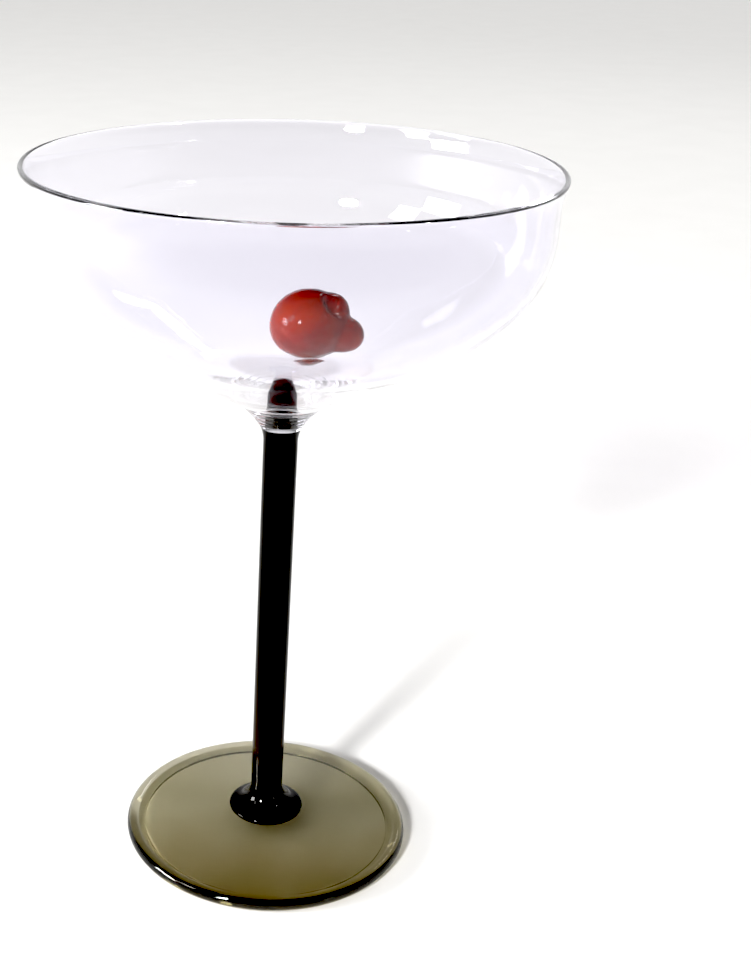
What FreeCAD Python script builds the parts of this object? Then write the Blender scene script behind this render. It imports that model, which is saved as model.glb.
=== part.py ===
import FreeCAD, Part
import math
import os

# A stemmed cocktail glass made at the lamp: a clear blown bowl, a clear collar, a smoke rod stem on
# a smoke foot, and a red glass cherry tacked to the inside of the bowl.
# Millimetres and degrees. +Z is up, the glass stands on Z = 0, and the stem's axis is the Z axis.
# Pieces that are melted together share their faces, with no clearance between them.

# Overall sizes
overall_height = 170.0
rim_diameter = 115.2
foot_diameter = 72.0

# Bowl: a sloping side, two arcs that steepen it, an upright wall and a lip that turns out
bowl_height = 51.5
bowl_wall = 1.2
bowl_floor = 2.5
floor_corner_radius = 20.0
side_slope = 28.5
side_radius = 55.0
shoulder_slope = 48.0
upright_height = 6.0
lip_overhang = 1.0
lip_height = 5.0

# Collar: the solid clear button between the bowl and the stem
collar_diameter = 25.0
collar_height = 7.5
ring_mark_count = 4
ring_mark_pitch = 0.9
ring_mark_depth = 0.18
ring_mark_start = 1.6

# Stem: a rod with a trumpet base, a slightly wider top and a thin tenon in the collar above it
stem_diameter = 8.0
stem_top_overhang = 0.85
stem_top_flare = 3.5
stem_base_diameter = 18.8
stem_base_edge = 0.7
stem_base_slope = 20.0
stem_base_rim = 1.0
tenon_diameter = 4.8
tenon_cover = 0.5

# Foot: a disc that rises to its middle, with a beaded edge and a ground ring to stand on
foot_rise = 6.4
foot_thickness = 2.8
foot_seat_margin = 1.0
foot_bead_radius = 1.8
foot_bead_turn = 220.0
foot_ring_width = 3.0
foot_ring_height = 0.6

# Cherry: a ball with two lobes that meet beside its dimple, placed from the ball's centre
cherry_radius = 9.2
cherry_bearing = 60.0
cherry_distance = 12.1
lower_lobe_radius = 4.3
lower_lobe_place = FreeCAD.Vector(8.4, -1.8, -1.4)
upper_lobe_radius = 4.1
upper_lobe_place = FreeCAD.Vector(5.8, 2.7, 3.2)
dimple_radius = 4.6
dimple_place = FreeCAD.Vector(6.6, -3.2, 7.1)
cherry_gap = 0.25
weld_diameter = 7.0
place_tolerance = 0.001

ORIGIN = FreeCAD.Vector(0, 0, 0)
UP = FreeCAD.Vector(0, 0, 1)


def sine(angle):
    return math.sin(math.radians(angle))


def cosine(angle):
    return math.cos(math.radians(angle))


# Heights and radii that follow
bowl_seat_z = overall_height - bowl_height
collar_base_z = bowl_seat_z - collar_height
collar_radius = collar_diameter / 2
stem_radius = stem_diameter / 2
stem_top_radius = stem_radius + stem_top_overhang
stem_base_radius = stem_base_diameter / 2


class Outline:
    """Half of a turned shape, drawn in the XZ plane by lines and by arcs that go on smoothly."""

    def __init__(self, r, z, heading=0.0):
        self.start = FreeCAD.Vector(r, 0, z)
        self.place = self.start
        self.heading = heading
        self.edges = []

    def direction(self, turned_by=0.0):
        angle = self.heading + turned_by
        return FreeCAD.Vector(cosine(angle), 0, sine(angle))

    def line_to(self, r, z):
        end = FreeCAD.Vector(r, 0, z)
        step = end - self.place
        self.edges.append(Part.LineSegment(self.place, end).toShape())
        self.heading = math.degrees(math.atan2(step.z, step.x))
        self.place = end

    def straight(self, length):
        end = self.place + self.direction() * length
        self.line_to(end.x, end.z)

    def arc(self, radius, turn):
        """Arc that turns the heading by turn degrees, to the left when turn is positive."""
        side = math.copysign(90, turn)
        centre = self.place + self.direction(side) * radius
        middle = centre - self.direction(side + turn / 2) * radius
        end = centre - self.direction(side + turn) * radius
        self.edges.append(Part.Arc(self.place, middle, end).toShape())
        self.heading += turn
        self.place = end

    def turned(self):
        """Close the outline and turn it about Z into a solid."""
        closing = Part.LineSegment(self.place, self.start).toShape()
        face = Part.Face(Part.Wire(self.edges + [closing]))
        return face.revolve(ORIGIN, UP, 360)


def flare_arc(overhang, height):
    """Radius and turn of an arc that leaves an upright wall and ends overhang further out."""
    radius = (overhang ** 2 + height ** 2) / (2 * overhang)
    return radius, math.degrees(math.asin(height / radius))


def slope_and_shoulder(reach, height):
    """Length of the bowl's straight slope and radius of its shoulder, which with the side's arc
    between them go reach outwards and height upwards."""
    reach -= side_radius * (sine(shoulder_slope) - sine(side_slope))
    height -= side_radius * (cosine(side_slope) - cosine(shoulder_slope))
    shoulder_reach = 1 - sine(shoulder_slope)
    shoulder_height = cosine(shoulder_slope)
    scale = cosine(side_slope) * shoulder_height - shoulder_reach * sine(side_slope)
    length = (reach * shoulder_height - height * shoulder_reach) / scale
    radius = (height * cosine(side_slope) - reach * sine(side_slope)) / scale
    return length, radius


def make_bowl():
    lip_radius, lip_turn = flare_arc(lip_overhang, lip_height)
    edge_radius = bowl_wall / 2
    lip_reach = lip_overhang + edge_radius * (1 - cosine(lip_turn))
    lip_rise = lip_height + edge_radius * (1 + sine(lip_turn))
    reach = rim_diameter / 2 - lip_reach - collar_radius
    height = bowl_height - lip_rise - upright_height
    slope_length, shoulder_radius = slope_and_shoulder(reach, height)
    side_turn = shoulder_slope - side_slope
    shoulder_turn = 90 - shoulder_slope

    # Up the outside, from the collar to the lip
    outline = Outline(0, bowl_seat_z)
    outline.line_to(collar_radius, bowl_seat_z)
    outline.heading = side_slope
    outline.straight(slope_length)
    outline.arc(side_radius, side_turn)
    outline.arc(shoulder_radius, shoulder_turn)
    outline.straight(upright_height)
    outline.arc(lip_radius, -lip_turn)

    # Over the rounded edge and down the inside, one wall further in
    outline.arc(edge_radius, 180)
    outline.arc(lip_radius + bowl_wall, lip_turn)
    outline.straight(upright_height)
    outline.arc(shoulder_radius - bowl_wall, -shoulder_turn)
    outline.arc(side_radius - bowl_wall, -side_turn)

    # Round the corner between the sloping side and the level floor
    floor_rise = outline.place.z - bowl_seat_z - bowl_floor
    corner_cut = floor_corner_radius * math.tan(math.radians(side_slope / 2))
    outline.straight(floor_rise / sine(side_slope) - corner_cut)
    outline.arc(floor_corner_radius, -side_slope)
    outline.line_to(0, bowl_seat_z + bowl_floor)
    return outline.turned()


def make_tenon():
    """The thin end of the rod, melted up into the collar."""
    base = FreeCAD.Vector(0, 0, collar_base_z)
    return Part.makeCylinder(tenon_diameter / 2, collar_height - tenon_cover, base)


def make_collar():
    # The flare runs from the stem's top to the bowl's seat, where it goes on at the bowl's slope.
    reach = collar_radius - stem_top_radius
    flare_turn = 2 * (math.degrees(math.atan2(collar_height, reach)) - side_slope)
    flare_radius = math.hypot(reach, collar_height) / (2 * sine(flare_turn / 2))
    outline = Outline(0, collar_base_z)
    outline.line_to(stem_top_radius, collar_base_z)
    outline.heading = side_slope + flare_turn
    outline.arc(flare_radius, -flare_turn)
    outline.line_to(0, bowl_seat_z)
    collar = outline.turned()

    # Fine tool marks run round the neck of the flare.
    flare_centre_r = collar_radius + flare_radius * sine(side_slope)
    flare_centre_z = bowl_seat_z - flare_radius * cosine(side_slope)
    for mark in range(ring_mark_count):
        mark_z = collar_base_z + ring_mark_start + mark * ring_mark_pitch
        mark_r = flare_centre_r - math.sqrt(flare_radius ** 2 - (mark_z - flare_centre_z) ** 2)
        groove = Part.makeTorus(mark_r, ring_mark_depth, FreeCAD.Vector(0, 0, mark_z))
        collar = collar.cut(groove)
    return collar.cut(make_tenon())


def make_stem():
    edge_reach = stem_base_edge * (1 - sine(stem_base_slope))
    trumpet_reach = stem_base_radius - edge_reach - stem_base_rim - stem_radius
    trumpet_radius = trumpet_reach / (1 - sine(stem_base_slope))
    flare_radius, flare_turn = flare_arc(stem_top_overhang, stem_top_flare)

    outline = Outline(0, foot_rise)
    outline.line_to(stem_base_radius - stem_base_edge, foot_rise)
    outline.arc(stem_base_edge, 180 - stem_base_slope)
    outline.straight(stem_base_rim / cosine(stem_base_slope))
    outline.arc(trumpet_radius, stem_base_slope - 90)
    outline.line_to(stem_radius, collar_base_z - stem_top_flare)
    outline.arc(flare_radius, -flare_turn)
    outline.line_to(0, collar_base_z)
    return outline.turned().fuse(make_tenon())


def make_foot():
    bead_centre_r = foot_diameter / 2 - foot_bead_radius
    ring_inside_r = bead_centre_r - foot_ring_width
    seat_radius = stem_base_radius + foot_seat_margin

    outline = Outline(ring_inside_r, 0)
    outline.line_to(bead_centre_r, 0)
    outline.arc(foot_bead_radius, foot_bead_turn)
    outline.line_to(seat_radius, foot_rise)
    outline.line_to(0, foot_rise)
    outline.line_to(0, foot_rise - foot_thickness)
    outline.line_to(seat_radius, foot_rise - foot_thickness)
    outline.line_to(ring_inside_r, foot_ring_height)
    return outline.turned()


def make_cherry(bowl):
    """Ball, dimple and lobes, let down into the bowl until it is cherry_gap from the glass."""
    ball = Part.makeSphere(cherry_radius)
    dimple = Part.makeSphere(dimple_radius, dimple_place)
    lower_lobe = Part.makeSphere(lower_lobe_radius, lower_lobe_place)
    upper_lobe = Part.makeSphere(upper_lobe_radius, upper_lobe_place)
    cherry = ball.cut(dimple).fuse([lower_lobe, upper_lobe])

    centre = FreeCAD.Vector(cosine(cherry_bearing), sine(cherry_bearing), 0) * cherry_distance
    too_low = bowl_seat_z
    too_high = overall_height
    while too_high - too_low > place_tolerance:
        centre.z = (too_high + too_low) / 2
        if cherry.translated(centre).distToShape(bowl)[0] > cherry_gap:
            too_high = centre.z
        else:
            too_low = centre.z
    return cherry.translated(centre), centre


def make_cherry_weld(cherry, centre, bowl):
    """Clear tack of glass that fills the gap between the ball and the bowl nearest to it."""
    distance, nearest, _ = bowl.distToShape(Part.Vertex(centre))
    towards_bowl = nearest[0][0] - centre
    tack = Part.makeCylinder(weld_diameter / 2, distance + bowl_wall / 2, centre, towards_bowl)
    return tack.cut([cherry, bowl])


def main():
    bowl = make_bowl()
    cherry, cherry_centre = make_cherry(bowl)
    nodes = {
        "bowl": bowl,
        "collar": make_collar(),
        "stem": make_stem(),
        "foot": make_foot(),
        "cherry": cherry,
        "cherry_weld": make_cherry_weld(cherry, cherry_centre, bowl),
    }
    os.makedirs("parts", exist_ok=True)
    for name, shape in nodes.items():
        shape.exportStep(f"parts/{name}.step")
        print(name, len(shape.Solids), "solid,", round(shape.Volume, 1), "mm3")


main()
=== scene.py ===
# %% [markdown]
# # A lampworked cocktail glass with a red glass cherry
# A glassworker melts this glass together at a burner from a few pieces: a thin clear blown bowl on
# a solid clear collar, a dark smoke rod for a stem, a smoke foot, and a red cherry tacked inside
# the bowl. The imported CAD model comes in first. It fixes every size and place, and nothing here
# moves it.

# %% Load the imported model
import math

import bmesh
import bpy
from mathutils import Matrix, Vector


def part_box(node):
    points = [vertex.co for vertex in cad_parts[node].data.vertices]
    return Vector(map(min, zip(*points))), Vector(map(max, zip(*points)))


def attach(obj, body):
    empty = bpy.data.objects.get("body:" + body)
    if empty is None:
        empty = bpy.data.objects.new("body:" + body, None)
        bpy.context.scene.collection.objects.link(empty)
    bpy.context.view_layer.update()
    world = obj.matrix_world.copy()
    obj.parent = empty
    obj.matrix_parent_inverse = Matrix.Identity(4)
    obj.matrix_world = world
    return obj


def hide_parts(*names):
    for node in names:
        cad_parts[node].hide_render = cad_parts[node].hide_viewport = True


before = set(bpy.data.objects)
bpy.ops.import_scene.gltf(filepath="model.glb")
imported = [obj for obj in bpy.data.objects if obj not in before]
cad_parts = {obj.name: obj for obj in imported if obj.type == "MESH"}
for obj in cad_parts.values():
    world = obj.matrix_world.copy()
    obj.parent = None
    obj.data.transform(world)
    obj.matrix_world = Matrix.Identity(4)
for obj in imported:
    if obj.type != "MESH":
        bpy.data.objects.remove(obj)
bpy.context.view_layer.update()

print("CAD nodes:", sorted(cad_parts))

# %% [markdown]
# ## Outlines that are drawn, then turned
# Glass like this is shaped while it turns in the flame, so nearly all of it is a solid of
# revolution. An outline starts as one vertex in the XZ plane. A straight run extrudes its last
# vertex, and an arc spins that vertex about a centre. Each goes on in the direction that the last
# one ended in, as a drawn line does, so the curves flow into each other. At the end the whole
# outline spins once about Z.

# %% Draw an outline
MM = 0.001


def sine(degrees):
    return math.sin(math.radians(degrees))


def cosine(degrees):
    return math.cos(math.radians(degrees))


def heading_vector(degrees):
    return Vector((cosine(degrees), 0, sine(degrees)))


class Outline:
    """Half of a turned shape, drawn in millimetres and degrees in the XZ plane."""

    def __init__(self, r, z):
        self.mesh = bmesh.new()
        self.tip = self.mesh.verts.new(Vector((r, 0, z)) * MM)
        self.heading = 0.0

    def line_to(self, r, z, steps=1):
        step = (Vector((r, 0, z)) * MM - self.tip.co) / steps
        for _ in range(steps):
            self.tip = bmesh.ops.extrude_vert_indiv(self.mesh, verts=[self.tip])["verts"][0]
            bmesh.ops.translate(self.mesh, verts=[self.tip], vec=step)
        self.heading = math.degrees(math.atan2(step.z, step.x))

    def straight(self, length, steps=1):
        end = self.tip.co / MM + heading_vector(self.heading) * length
        self.line_to(end.x, end.z, steps)

    def arc(self, radius, turn, steps):
        """Turn the heading by turn degrees, to the left when turn is positive."""
        side = math.copysign(90, turn)
        centre = self.tip.co + heading_vector(self.heading + side) * radius * MM
        spun = bmesh.ops.spin(self.mesh, geom=[self.tip], cent=centre, axis=(0, -1, 0),
                              angle=math.radians(turn), steps=steps, use_merge=False)
        self.tip = next(v for v in spun["geom_last"] if isinstance(v, bmesh.types.BMVert))
        self.heading += turn


# %% [markdown]
# ## Turn an outline into a piece
# A full spin leaves one copy of every vertex that lies on the axis for each step, so the doubles
# are merged to close the poles, and only then are the normals made to point outwards. Real hot
# glass has no hard edges, so faces are smooth, except where an edge turns more sharply than a
# chosen angle.

# %% Turn the outline
HARD_EDGE = math.radians(40)
MERGE_DISTANCE = 0.0005 * MM
SHORTEST_EDGE = 0.0002 * MM


def turn_round(outline, steps=256):
    mesh = outline.mesh
    bmesh.ops.spin(mesh, geom=mesh.verts[:] + mesh.edges[:], cent=(0, 0, 0), axis=(0, 0, 1),
                   angle=math.tau, steps=steps, use_merge=True)
    bmesh.ops.remove_doubles(mesh, verts=mesh.verts[:], dist=MERGE_DISTANCE)
    bmesh.ops.dissolve_degenerate(mesh, edges=mesh.edges[:], dist=SHORTEST_EDGE)
    return mesh


def finish_piece(mesh, name):
    """Make an object of a bmesh, with its normals outwards and smooth faces."""
    bmesh.ops.recalc_face_normals(mesh, faces=mesh.faces[:])
    for face in mesh.faces:
        face.smooth = True
    for edge in mesh.edges:
        edge.smooth = edge.calc_face_angle(0) < HARD_EDGE
    open_edges = sum(not edge.is_manifold for edge in mesh.edges)
    data = bpy.data.meshes.new(name)
    mesh.to_mesh(data)
    print(name, len(data.polygons), "faces,", open_edges, "open edges")
    mesh.free()
    piece = bpy.data.objects.new(name, data)
    bpy.context.scene.collection.objects.link(piece)
    return piece


# %% [markdown]
# ## Read the sizes from the CAD model
# Heights and diameters come from the boxes of the CAD nodes, in millimetres. The few that a box
# can't show, such as slopes and wall thickness, are repeated beside the piece that they shape.

# %% Read the sizes
def corners(node):
    low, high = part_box(node)
    return low / MM, high / MM


bowl_low, bowl_high = corners("bowl")
collar_low, collar_high = corners("collar")
stem_low, stem_high = corners("stem")
_, foot_high = corners("foot")
rim_radius = bowl_high.x
collar_radius = collar_high.x
stem_base_radius = stem_high.x
foot_radius = foot_high.x
print(f"rim {2 * rim_radius:.1f}, foot {2 * foot_radius:.1f}, height {bowl_high.z:.1f} mm")

# %% [markdown]
# ## The clear bowl and its collar
# The bowl is blown from clear borosilicate tube. Its side slopes up, bends round a shoulder to an
# upright wall, and the lip turns out a little where it was flared and fire polished. The collar is
# a solid button of the same glass that joins the bowl to the stem, and the tool that necked it
# down left fine rings on it. Bowl and collar are melted into one body, with no surface between
# them, and an inner surface would show as a false mirror. So they are one outline here, and stand
# for both CAD nodes.

# %% Sizes of the bowl
bowl_wall = 1.2
bowl_floor = 2.5
floor_corner_radius = 20.0
side_slope = 28.5
side_radius = 55.0
shoulder_slope = 48.0
upright_height = 6.0
lip_overhang = 1.0
lip_height = 5.0
stem_top_radius = 4.85
print(f"bowl wall {bowl_wall} mm, floor {bowl_floor} mm")


# %% Work out the slope, the shoulder and the lip
def slope_and_shoulder(reach, height):
    """Length of the slope and radius of the shoulder that go reach outwards and height up."""
    reach -= side_radius * (sine(shoulder_slope) - sine(side_slope))
    height -= side_radius * (cosine(side_slope) - cosine(shoulder_slope))
    out, up = 1 - sine(shoulder_slope), cosine(shoulder_slope)
    scale = cosine(side_slope) * up - out * sine(side_slope)
    return ((reach * up - height * out) / scale,
            (height * cosine(side_slope) - reach * sine(side_slope)) / scale)


lip_radius = (lip_overhang ** 2 + lip_height ** 2) / (2 * lip_overhang)
lip_turn = math.degrees(math.asin(lip_height / lip_radius))
edge_radius = bowl_wall / 2
lip_reach = lip_overhang + edge_radius * (1 - cosine(lip_turn))
lip_rise = lip_height + edge_radius * (1 + sine(lip_turn))
slope_length, shoulder_radius = slope_and_shoulder(
    rim_radius - lip_reach - collar_radius,
    bowl_high.z - bowl_low.z - lip_rise - upright_height)
print(f"straight slope {slope_length:.2f} mm, shoulder radius {shoulder_radius:.2f} mm")

# %% Draw the collar's flare
collar_reach = collar_radius - stem_top_radius
collar_height = collar_high.z - collar_low.z
flare_turn = 2 * (math.degrees(math.atan2(collar_height, collar_reach)) - side_slope)
flare_radius = math.hypot(collar_reach, collar_height) / (2 * sine(flare_turn / 2))

clear = Outline(0, collar_low.z)
clear.line_to(stem_top_radius, collar_low.z, steps=3)
clear.heading = side_slope + flare_turn
clear.arc(flare_radius, -flare_turn, steps=110)
print(f"collar flare radius {flare_radius:.2f} mm")

# %% Press the ring marks into the flare
ring_count = 4
ring_pitch = 1.3
ring_start = 2.5
ring_depth = 0.18
ring_half_width = 0.3
for vert in clear.mesh.verts:
    ring = round((vert.co.z / MM - collar_low.z - ring_start) / ring_pitch)
    ring = min(max(ring, 0), ring_count - 1)
    off = (vert.co.z / MM - collar_low.z - ring_start - ring * ring_pitch) / ring_half_width
    if abs(off) < 1 and vert.co.x / MM > stem_top_radius:
        vert.co.x -= ring_depth * MM * (0.5 + 0.5 * math.cos(math.pi * off))
print(ring_count, "ring marks", ring_depth, "mm deep")

# %% Draw the bowl up the outside, over the lip and down the inside
side_turn = shoulder_slope - side_slope
shoulder_turn = 90 - shoulder_slope
clear.heading = side_slope
clear.straight(slope_length, steps=6)
clear.arc(side_radius, side_turn, steps=12)
clear.arc(shoulder_radius, shoulder_turn, steps=14)
clear.straight(upright_height, steps=3)
clear.arc(lip_radius, -lip_turn, steps=6)
clear.arc(edge_radius, 180, steps=16)
clear.arc(lip_radius + bowl_wall, lip_turn, steps=6)
clear.straight(upright_height, steps=3)
clear.arc(shoulder_radius - bowl_wall, -shoulder_turn, steps=14)
clear.arc(side_radius - bowl_wall, -side_turn, steps=12)
floor_rise = clear.tip.co.z / MM - bowl_low.z - bowl_floor
corner_cut = floor_corner_radius * math.tan(math.radians(side_slope / 2))
clear.straight(floor_rise / sine(side_slope) - corner_cut, steps=8)
clear.arc(floor_corner_radius, -side_slope, steps=14)
clear.line_to(0, bowl_low.z + bowl_floor, steps=4)
clear_glass = finish_piece(turn_round(clear), "clear_bowl_and_collar")


# %% [markdown]
# ## The stem
# A solid rod of smoke glass, so dark that it looks black until it thins out. Its foot end is
# pressed into a small trumpet, its top is a little wider where it met the collar, and its tip runs
# on up into the clear collar as a thin dark core. Two glass faces in exactly the same place would
# confuse the light, so the trumpet sinks a few hundredths of a millimetre into the foot, and a
# film of air as thin is left under the collar, where it shows as the bright band at the neck. The
# core is a closed shape of its own in the same mesh. It starts a little higher, so that the film
# stays clear.

# %% Sizes of the stem
melt_in = 0.05
film = 0.04
stem_base_edge = 0.7
stem_base_slope = 20.0
stem_base_rim = 1.0
stem_radius = 4.0
stem_top_flare = 3.5
tenon_radius = 2.4
core_start = 1.3
rod_turn_steps = 128
top_overhang = stem_top_radius - melt_in - stem_radius
base_reach = stem_base_edge * (1 - sine(stem_base_slope)) + stem_base_rim + stem_radius
trumpet_radius = (stem_base_radius - base_reach) / (1 - sine(stem_base_slope))
top_radius = (top_overhang ** 2 + stem_top_flare ** 2) / (2 * top_overhang)
top_turn = math.degrees(math.asin(stem_top_flare / top_radius))
print(f"trumpet radius {trumpet_radius:.2f} mm")

# %% Draw the rod and turn it
stem_outline = Outline(0, stem_low.z - melt_in)
stem_outline.line_to(stem_base_radius - stem_base_edge, stem_low.z - melt_in)
stem_outline.arc(stem_base_edge, 180 - stem_base_slope, steps=12)
stem_outline.straight(stem_base_rim / cosine(stem_base_slope), steps=2)
stem_outline.arc(trumpet_radius, stem_base_slope - 90, steps=16)
stem_outline.line_to(stem_radius, collar_low.z - stem_top_flare - film, steps=60)
stem_outline.arc(top_radius, -top_turn, steps=8)
stem_outline.line_to(0, collar_low.z - film, steps=3)
turn_round(stem_outline, steps=rod_turn_steps)
print("rod", len(stem_outline.mesh.faces), "faces")

# %% Draw the core and put both in one mesh
core_outline = Outline(0, collar_low.z + core_start)
core_outline.line_to(tenon_radius, collar_low.z + core_start)
core_outline.line_to(tenon_radius, stem_high.z, steps=8)
core_outline.line_to(0, stem_high.z)
core_mesh = bpy.data.meshes.new("core")
turn_round(core_outline, steps=rod_turn_steps).to_mesh(core_mesh)
stem_outline.mesh.from_mesh(core_mesh)
stem = finish_piece(stem_outline.mesh, "smoke_rod_stem")

# %% [markdown]
# ## The foot
# A gather of smoke glass is spun out into a disc that rises to its middle. Its edge is melted back
# into a round bead, and underneath only a narrow ring is ground flat, so the disc is hollow under
# its middle and stands on the ring without rocking.

# %% Draw the foot
foot_thickness = 2.8
foot_seat_margin = 1.0
foot_seat_radius = stem_base_radius + foot_seat_margin
bead_radius = 1.8
bead_turn = 220.0
ring_width = 3.0
ring_height = 0.6
bead_centre_r = foot_radius - bead_radius
ring_inside_r = bead_centre_r - ring_width

foot_outline = Outline(0, foot_high.z - foot_thickness)
foot_outline.line_to(foot_seat_radius, foot_high.z - foot_thickness, steps=4)
foot_outline.line_to(ring_inside_r, ring_height, steps=8)
foot_outline.line_to(ring_inside_r, 0, steps=2)
foot_outline.line_to(bead_centre_r, 0, steps=2)
foot_outline.arc(bead_radius, bead_turn, steps=28)
foot_outline.line_to(foot_seat_radius, foot_high.z, steps=10)
foot_outline.line_to(0, foot_high.z, steps=6)
foot = finish_piece(turn_round(foot_outline), "smoke_foot")

# %% [markdown]
# ## The cherry
# The cherry is solid red glass. A ball was gathered on a thin rod and two small lobes were pinched
# up where they meet beside a dimple, as on a cherry where its stalk goes in. The ball is the CAD
# solid's. The lobes are a little larger than the CAD's and set closer, so that they blend into it.
# A voxel remesh makes one skin of the spheres, and the creases are smoothed after it, because hot
# glass rounds every inside corner.

# %% Ways to place balls
cherry_low, cherry_high = corners("cherry")
cherry_radius = 9.2
ball_centre = Vector((cherry_low.x + cherry_radius, cherry_high.y - cherry_radius,
                      cherry_low.z + cherry_radius))
print("ball centre", [round(v, 2) for v in ball_centre])


def ball(mesh, radius, centre):
    bmesh.ops.create_icosphere(mesh, subdivisions=5, radius=radius * MM,
                               matrix=Matrix.Translation(centre * MM))


def balls(name, places):
    mesh = bmesh.new()
    for radius, offset in places:
        ball(mesh, radius, ball_centre + Vector(offset))
    return finish_piece(mesh, name)


def fix_shape(piece):
    """Put what the modifiers made into the piece's own mesh."""
    settled = piece.evaluated_get(bpy.context.evaluated_depsgraph_get())
    mesh = bpy.data.meshes.new_from_object(settled)
    piece.modifiers.clear()
    piece.data = mesh


# %% Cut the dimple, add the lobes and melt the creases
dimple_radius, dimple_place = 4.2, (6.9, -4.2, 7.6)
lower_lobe_radius, lower_lobe_place = 4.9, (7.9, -1.8, -1.9)
upper_lobe_radius, upper_lobe_place = 5.0, (4.4, 1.4, 3.1)
voxel = 0.25 * MM
softening_steps = 70

cherry = balls("red_cherry", [(cherry_radius, (0, 0, 0))])
dimple = balls("dimple_tool", [(dimple_radius, dimple_place)])
lobes = balls("lobes_tool", [(lower_lobe_radius, lower_lobe_place),
                             (upper_lobe_radius, upper_lobe_place)])
for tool, operation in ((dimple, "DIFFERENCE"), (lobes, "UNION")):
    cut = cherry.modifiers.new(tool.name, "BOOLEAN")
    cut.operation = operation
    cut.object = tool
    cut.solver = "EXACT"
    cut.use_self = True
skin = cherry.modifiers.new("one skin", "REMESH")
skin.mode = "VOXEL"
skin.voxel_size = voxel
skin.use_smooth_shade = True
soften = cherry.modifiers.new("soften creases", "SMOOTH")
soften.factor = 0.5
soften.iterations = softening_steps
fix_shape(cherry)
for tool in (dimple, lobes):
    bpy.data.objects.remove(tool)
print("cherry", len(cherry.data.polygons), "faces")

# %% [markdown]
# ## The tack under the cherry
# A touch of soft clear glass holds the cherry to the bowl. It is a low button, wider at its foot,
# that starts inside the bowl's wall and ends inside the ball. A boolean union melts it into the
# bowl, so that no face is left between two lumps of the same glass.

# %% Melt the tack into the bowl
weld_low, weld_high = corners("cherry_weld")
weld_centre = (weld_low + weld_high) / 2
towards_ball = (ball_centre - weld_centre).normalized()
tack_foot_radius = 1.9
tack_head_radius = 1.3
tack_height = 2.4
tack_rise = 0.1
tack_place = Matrix.Translation((weld_centre + towards_ball * tack_rise) * MM)
tack_turn = towards_ball.to_track_quat("Z", "Y").to_matrix().to_4x4()
tack_mesh = bmesh.new()
bmesh.ops.create_cone(tack_mesh, cap_ends=True, segments=64, radius1=tack_foot_radius * MM,
                      radius2=tack_head_radius * MM, depth=tack_height * MM,
                      matrix=tack_place @ tack_turn)
tack = finish_piece(tack_mesh, "tack_tool")
melt = clear_glass.modifiers.new("melt the tack in", "BOOLEAN")
melt.operation = "UNION"
melt.object = tack
melt.solver = "EXACT"
fix_shape(clear_glass)
bpy.data.objects.remove(tack)
print("clear glass", len(clear_glass.data.polygons), "faces")

# %% [markdown]
# ## Ride and replace
# Every piece moves with the model's one body and stands for its CAD nodes.

# %% Tie the pieces to the model
for piece, nodes, slot in (
        (clear_glass, ("bowl", "collar", "cherry_weld"), "clear_glass"),
        (stem, ("stem",), "dark_smoke_glass"),
        (foot, ("foot",), "smoke_glass"),
        (cherry, ("cherry",), "red_glass")):
    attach(piece, "root")
    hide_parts(*nodes)
    print(piece.name, "stands for", ", ".join(nodes))

# %% [markdown]
# ## A way to build materials
# One function turns an sRGB hex colour to the linear numbers that nodes use, and one adds a node
# with its settings and links.

# %% Colour and node helpers
def linear(hex_colour):
    channels = [int(hex_colour[i:i + 2], 16) / 255 for i in (0, 2, 4)]
    return [c / 12.92 if c <= 0.04045 else ((c + 0.055) / 1.055) ** 2.4 for c in channels] + [1]


def add_node(tree, kind, inputs=None, **settings):
    """Add a node. An input that is another node's output is linked, and any other is set."""
    node = tree.nodes.new("ShaderNode" + kind)
    for name, value in settings.items():
        setattr(node, name, value)
    for name, value in (inputs or {}).items():
        socket = node.inputs[name]
        if isinstance(value, bpy.types.NodeSocket):
            tree.links.new(value, socket)
        else:
            socket.default_value = value
    return node


def per_mm(size):
    """Noise scale for features of this size in millimetres, on coordinates in metres."""
    return 1 / (size * MM)


def new_material(name):
    material = bpy.data.materials.new(name)
    material.use_nodes = True
    material.node_tree.nodes.clear()
    return material, material.node_tree


# %% [markdown]
# ## Clear borosilicate glass
# Borosilicate worked in a flame: IOR 1.474, almost without colour, with the faintest lavender
# cast. Blowing leaves slow waves about a centimetre long and a few hundredths of a millimetre
# high, which bend what is seen through the wall, and finer streaks run through them. Two faces so
# close together magnify any wave, so the waves are kept low. For shadow rays the glass lets the
# light straight through, so the bowl throws only the pale shadow that thin glass does.

# %% A surface that was worked hot
def worked_surface(tree, wave_mm, wave_height_mm, streak_mm, streak_height_mm):
    """Normal of a surface that was worked hot: slow waves with finer streaks on them."""
    place = add_node(tree, "TexCoord").outputs["Object"]
    wave = add_node(tree, "TexNoise", {"Vector": place, "Scale": per_mm(wave_mm), "Detail": 2})
    slow = add_node(tree, "Bump", {"Strength": 1, "Distance": wave_height_mm * MM,
                                   "Height": wave.outputs["Fac"]})
    streak = add_node(tree, "TexNoise", {"Vector": place, "Scale": per_mm(streak_mm), "Detail": 3})
    fine = add_node(tree, "Bump", {"Strength": 1, "Distance": streak_height_mm * MM,
                                   "Height": streak.outputs["Fac"],
                                   "Normal": slow.outputs["Normal"]})
    return place, fine.outputs["Normal"]


def uneven_polish(tree, place, patch_mm, most):
    """Roughness in patches, from none to most, as fire polishing leaves it."""
    patch = add_node(tree, "TexNoise", {"Vector": place, "Scale": per_mm(patch_mm), "Detail": 4})
    return add_node(tree, "MapRange", {"Value": patch.outputs["Fac"], "From Min": 0.35,
                                       "From Max": 0.75, "To Min": 0.0,
                                       "To Max": most}).outputs["Result"]


# %% Make the clear glass
BOROSILICATE_IOR = 1.474


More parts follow.
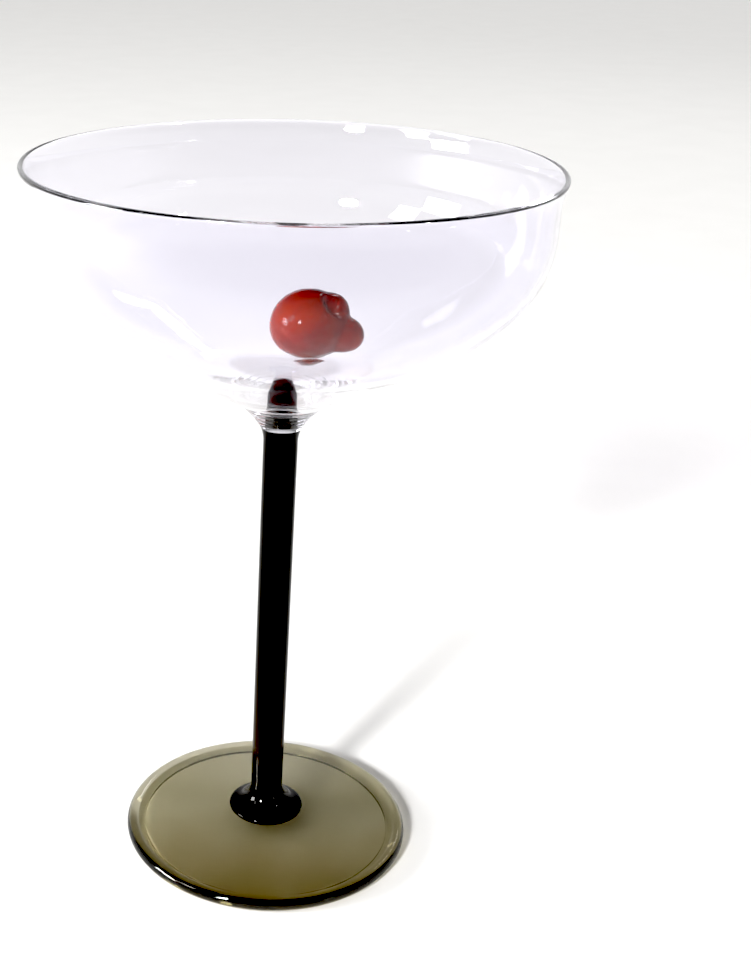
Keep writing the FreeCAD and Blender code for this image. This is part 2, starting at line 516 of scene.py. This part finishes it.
def make_clear_glass():
    material, tree = new_material("clear borosilicate, flame worked")
    place, normal = worked_surface(tree, wave_mm=14, wave_height_mm=0.03,
                                   streak_mm=4, streak_height_mm=0.003)
    glass = add_node(tree, "BsdfPrincipled", {
        "Base Color": linear("f9f8ff"), "Transmission Weight": 1, "IOR": BOROSILICATE_IOR,
        "Roughness": uneven_polish(tree, place, patch_mm=9, most=0.03), "Normal": normal})
    through = add_node(tree, "BsdfTransparent", {"Color": linear("f4f3f6")})
    ray = add_node(tree, "LightPath")
    mix = add_node(tree, "MixShader", {0: ray.outputs["Is Shadow Ray"],
                                       1: glass.outputs["BSDF"], 2: through.outputs["BSDF"]})
    add_node(tree, "OutputMaterial", {"Surface": mix.outputs["Shader"]})
    return material


clear_glass.data.materials.append(make_clear_glass())

# %% [markdown]
# ## Smoke glass for the foot
# Smoke borosilicate is coloured all through, so it is the depth of glass that makes it dark, and
# the olive grey comes from absorption inside the foot. Its skin is the same fire polished one as
# the bowl's. Its colour has faint streaks of tint, and painted shade darkens it towards the front.

# %% Make the smoke glass
def make_smoke_glass():
    material, tree = new_material("smoke borosilicate, spun")
    place, normal = worked_surface(tree, wave_mm=11, wave_height_mm=0.03,
                                   streak_mm=3, streak_height_mm=0.003)
    # Painted shade darkens the colour towards the front, and faint streaks of tint run through it.
    across = add_node(tree, "SeparateXYZ", {"Vector": place}).outputs["Y"]
    front_shade = add_node(tree, "MapRange", {"Value": across, "From Min": -0.034, "From Max": 0.012,
                                         "To Min": 0.0, "To Max": 1.0})
    streaks = add_node(tree, "TexNoise", {"Vector": place, "Scale": per_mm(16), "Detail": 2})
    streaks_and_front_shade = add_node(tree, "Math", {0: streaks.outputs["Fac"], 1: 0.35,
                                     2: front_shade.outputs["Result"]}, operation="MULTIPLY_ADD")
    tint_and_front_shade = add_node(tree, "ValToRGB", {"Fac": streaks_and_front_shade.outputs["Value"]})
    ramp = tint_and_front_shade.color_ramp.elements
    ramp[0].position, ramp[0].color = 0.1, linear("c9bfa8")
    ramp[1].position, ramp[1].color = 0.95, linear("fffdfb")
    glass = add_node(tree, "BsdfPrincipled", {
        "Base Color": tint_and_front_shade.outputs["Color"], "Transmission Weight": 1, "IOR": BOROSILICATE_IOR,
        "Roughness": uneven_polish(tree, place, patch_mm=6, most=0.05), "Normal": normal})
    density_per_mm = 0.15
    depth = add_node(tree, "VolumeAbsorption", {"Color": linear("c6c07e"),
                                                "Density": density_per_mm / MM})
    add_node(tree, "OutputMaterial", {"Surface": glass.outputs["BSDF"],
                                      "Volume": depth.outputs["Volume"]})
    return material


foot.data.materials.append(make_smoke_glass())

# %% [markdown]
# ## Dark smoke glass for the rod
# The rod is so dense that hardly any light comes through 8 mm of it. It could be made of
# absorption too, but a clear skin over a black body looked grey, so it is a dark solid with a
# weak, sharp gloss. A faint brown glow is painted into its colour low on the rod, where light
# through the foot would reach it.

# %% Make the dark rod glass
def make_dark_rod():
    material, tree = new_material("dark smoke borosilicate rod")
    place, normal = worked_surface(tree, wave_mm=11, wave_height_mm=0.03,
                                   streak_mm=3, streak_height_mm=0.003)
    # Painted glow: a faint brown band low in the colour stands in for light through the foot.
    level = add_node(tree, "SeparateXYZ", {"Vector": place}).outputs["Z"]
    rod_colour_with_painted_glow = add_node(tree, "ValToRGB", {"Fac": add_node(tree, "MapRange", {
        "Value": level, "From Min": 0, "From Max": 0.1}).outputs["Result"]})
    ramp = rod_colour_with_painted_glow.color_ramp.elements
    ramp[0].position, ramp[0].color = 0.18, linear("060401")
    ramp[1].position, ramp[1].color = 0.55, linear("060402")
    glow = ramp.new(0.24)
    glow.color = linear("1c1204")
    glass = add_node(tree, "BsdfPrincipled", {
        "Base Color": rod_colour_with_painted_glow.outputs["Color"], "IOR": BOROSILICATE_IOR, "Specular IOR Level": 0.12,
        "Roughness": 0.04, "Normal": normal})
    add_node(tree, "OutputMaterial", {"Surface": glass.outputs["BSDF"]})
    return material


stem.data.materials.append(make_dark_rod())

# %% [markdown]
# ## Red glass
# Selenium red glass scatters light inside itself, so it glows and its shaded side stays red. Here
# that is subsurface scattering over a few millimetres of a deep red that drifts towards orange.
# Its skin is fire polished, with a few slow waves from the paddle, and its gloss is low so that
# the red stays deep.

# %% Make the red glass
def make_red_glass():
    material, tree = new_material("selenium red glass, pressed")
    place, normal = worked_surface(tree, wave_mm=6, wave_height_mm=0.05,
                                   streak_mm=2, streak_height_mm=0.004)
    cloud = add_node(tree, "TexNoise", {"Vector": place, "Scale": per_mm(8), "Detail": 3})
    depth = add_node(tree, "ValToRGB", {"Fac": cloud.outputs["Fac"]})
    ramp = depth.color_ramp.elements
    ramp[0].position, ramp[0].color = 0.35, linear("540300")
    ramp[1].position, ramp[1].color = 0.65, linear("641400")
    glass = add_node(tree, "BsdfPrincipled", {
        "Base Color": depth.outputs["Color"], "IOR": 1.5, "Specular IOR Level": 0.18,
        "Roughness": 0.06, "Normal": normal, "Subsurface Weight": 0.5, "Subsurface Scale": 0.006,
        "Subsurface Radius": (1.0, 0.2, 0.1)})
    add_node(tree, "OutputMaterial", {"Surface": glass.outputs["BSDF"]})
    return material


cherry.data.materials.append(make_red_glass())

# %% [markdown]
# ## The floor
# Clear glass is shown by what it bends and mirrors, so the floor matters as much as the lights. It
# is a sheet of white paper, faintly uneven. From a little in front of the glass, painted shade
# darkens it smoothly to grey.

# %% Lay the floor
FLOOR_HALF_SIDE = 4.0
FLOOR_SINK = 0.05
FRONT_SHADE_FROM, FRONT_SHADE_TO = -0.14, -0.6

floor_mesh = bmesh.new()
bmesh.ops.create_grid(floor_mesh, x_segments=1, y_segments=1, size=FLOOR_HALF_SIDE)
# The foot's ground ring and the floor would share a plane, which confuses the light.
bmesh.ops.translate(floor_mesh, verts=floor_mesh.verts[:], vec=(0, 0, -FLOOR_SINK * MM))
floor = finish_piece(floor_mesh, "floor")

# %% Make the paper
paper, paper_tree = new_material("white paper floor with painted front shade")
floor_place = add_node(paper_tree, "TexCoord").outputs["Object"]
grain = add_node(paper_tree, "TexNoise", {"Vector": floor_place, "Scale": per_mm(40), "Detail": 3})
paper_tone = add_node(paper_tree, "MixRGB", {0: grain.outputs["Fac"], 1: linear("f1f0ee"),
                                        2: linear("f6f5f3")})
# Painted shade: the paper darkens smoothly to grey towards the front.
floor_front_shade = add_node(paper_tree, "MapRange", {
    "Value": add_node(paper_tree, "SeparateXYZ", {"Vector": floor_place}).outputs["Y"],
    "From Min": FRONT_SHADE_FROM, "From Max": FRONT_SHADE_TO}, interpolation_type="SMOOTHSTEP")
paper_with_front_shade = add_node(paper_tree, "MixRGB", {0: floor_front_shade.outputs["Result"],
                                         1: paper_tone.outputs["Color"], 2: linear("6c6b6e")})
sheet = add_node(paper_tree, "BsdfPrincipled", {"Base Color": paper_with_front_shade.outputs["Color"],
                                                "Roughness": 0.8, "Specular IOR Level": 0.1})
add_node(paper_tree, "OutputMaterial", {"Surface": sheet.outputs["BSDF"]})
floor.data.materials.append(paper)
print("floor material:", paper.name)

# %% [markdown]
# ## The lights
# A low sun, softened as by a curtain, comes from the front left and throws the stem's long shadow
# to the back right. Windows and two small lamps give the glass its highlights: a highlight is only
# the mirror image of a light, so each light's size and place decide the shape and place of one.
# Azimuths count from +X towards +Y.

# %% Ways to place a light
AIM = Vector((0, 0, 0.06))


def towards(azimuth, elevation):
    return Vector((cosine(elevation) * cosine(azimuth), cosine(elevation) * sine(azimuth),
                   sine(elevation)))


def add_light(name, kind, matrix, **settings):
    data = bpy.data.lights.new(name, kind)
    for setting, value in settings.items():
        setattr(data, setting, value)
    light = bpy.data.objects.new(name, data)
    light.matrix_world = matrix
    bpy.context.scene.collection.objects.link(light)
    print(name, kind.lower(), data.energy)


def facing(direction):
    """Turn that points a light's back in this direction, so that it shines the other way."""
    return direction.to_track_quat("Z", "Y").to_matrix().to_4x4()


# %% Add the sun, the windows and the lamps
add_light("low_sun_through_curtain", "SUN", facing(towards(237, 25)), energy=4.7,
          angle=math.radians(9))
for name, azimuth, elevation, distance, width, height, power in (
        ("window_left", 188, 15, 1.5, 0.5, 0.4, 30),
        ("window_front", 205, 30, 1.6, 0.3, 0.45, 4),
        ("lamp_right", 330, 40, 1.2, 0.1, 0.035, 1.6),
        ("lamp_low_right", 316, 6, 1.2, 0.08, 0.035, 1.0),
        ("window_back", 62, 38, 1.6, 0.1, 0.35, 1.5)):
    direction = towards(azimuth, elevation)
    add_light(name, "AREA", Matrix.Translation(AIM + direction * distance) @ facing(direction),
              shape="RECTANGLE", size=width, size_y=height, energy=power)

# %% [markdown]
# ## The room
# The room is white at eye level and dim overhead, so the inside of the bowl mirrors something
# darker than the floor and its wall can be seen. It is also dimmer towards the front.

# %% Make the room
world = bpy.data.worlds.new("white room")
world.use_nodes = True
world_tree = world.node_tree
world_tree.nodes.clear()
way = add_node(world_tree, "TexCoord").outputs["Generated"]
axes = add_node(world_tree, "SeparateXYZ", {"Vector": way}).outputs
glow = add_node(world_tree, "MapRange", {"Value": axes["Z"], "From Min": 0.25, "From Max": 0.45,
                                         "To Min": 1.0, "To Max": 0.1})
dim_front = add_node(world_tree, "MapRange", {"Value": axes["Y"], "From Min": -0.85,
                                              "From Max": 0.0, "To Min": 0.35, "To Max": 1.0})
strength = add_node(world_tree, "Math", {0: glow.outputs["Result"],
                                         1: dim_front.outputs["Result"]}, operation="MULTIPLY")
sky = add_node(world_tree, "Background", {"Color": linear("ffffff"),
                                          "Strength": strength.outputs["Value"]})
add_node(world_tree, "OutputWorld", {"Surface": sky.outputs["Background"]})
bpy.context.scene.world = world
print("room:", world.name)

# %% [markdown]
# ## How the light is shown
# Light that enters a rounded rim of glass is mirrored inside it many times, and where the bounces
# run out the rim goes black, so far more bounces are allowed than the few that most scenes need.
# The picture is shown with deep blacks, as prints of glass on white paper are. This only changes
# how the finished light is shown, and neither the pieces nor their materials.

# %% Allow the bounces and set the blacks
GLASS_BOUNCES = 80
BLACK_LEVEL = 0.05

bounces = bpy.context.scene.cycles
bounces.max_bounces = GLASS_BOUNCES
bounces.glossy_bounces = GLASS_BOUNCES
bounces.transmission_bounces = GLASS_BOUNCES
developing = bpy.context.scene.view_settings
developing.view_transform = "Standard"
developing.use_curve_mapping = True
developing.curve_mapping.black_level = (BLACK_LEVEL, BLACK_LEVEL, BLACK_LEVEL)
print("light bounces", GLASS_BOUNCES, "black level", BLACK_LEVEL)

# %% [markdown]
# ## The camera
# It looks down at the glass from the front, close by, so the rim spreads wider than the foot. The
# small shift frames the glass to the left of the middle without turning the camera.

# %% Place the camera
camera_place = Vector((-17.4, -313.0, 227.0))
pitch, roll = 26.12, 0.94
camera_data = bpy.data.cameras.new("camera")
camera_data.lens = 54.45
camera_data.sensor_width = 36
camera_data.shift_x = 0.18
camera_data.shift_y = 0.0958
camera = bpy.data.objects.new("camera", camera_data)
up = Vector((0, sine(pitch), cosine(pitch)))
right = Vector((1, 0, 0))
back = Vector((0, -cosine(pitch), sine(pitch)))
axis_x = cosine(roll) * right + sine(roll) * up
axis_y = cosine(roll) * up - sine(roll) * right
camera.matrix_world = Matrix.Translation(camera_place * MM) @ Matrix(
    (axis_x, axis_y, back)).transposed().to_4x4()
bpy.context.scene.collection.objects.link(camera)
bpy.context.scene.camera = camera
print(f"camera {camera_place.length:.0f} mm from the middle of the foot")
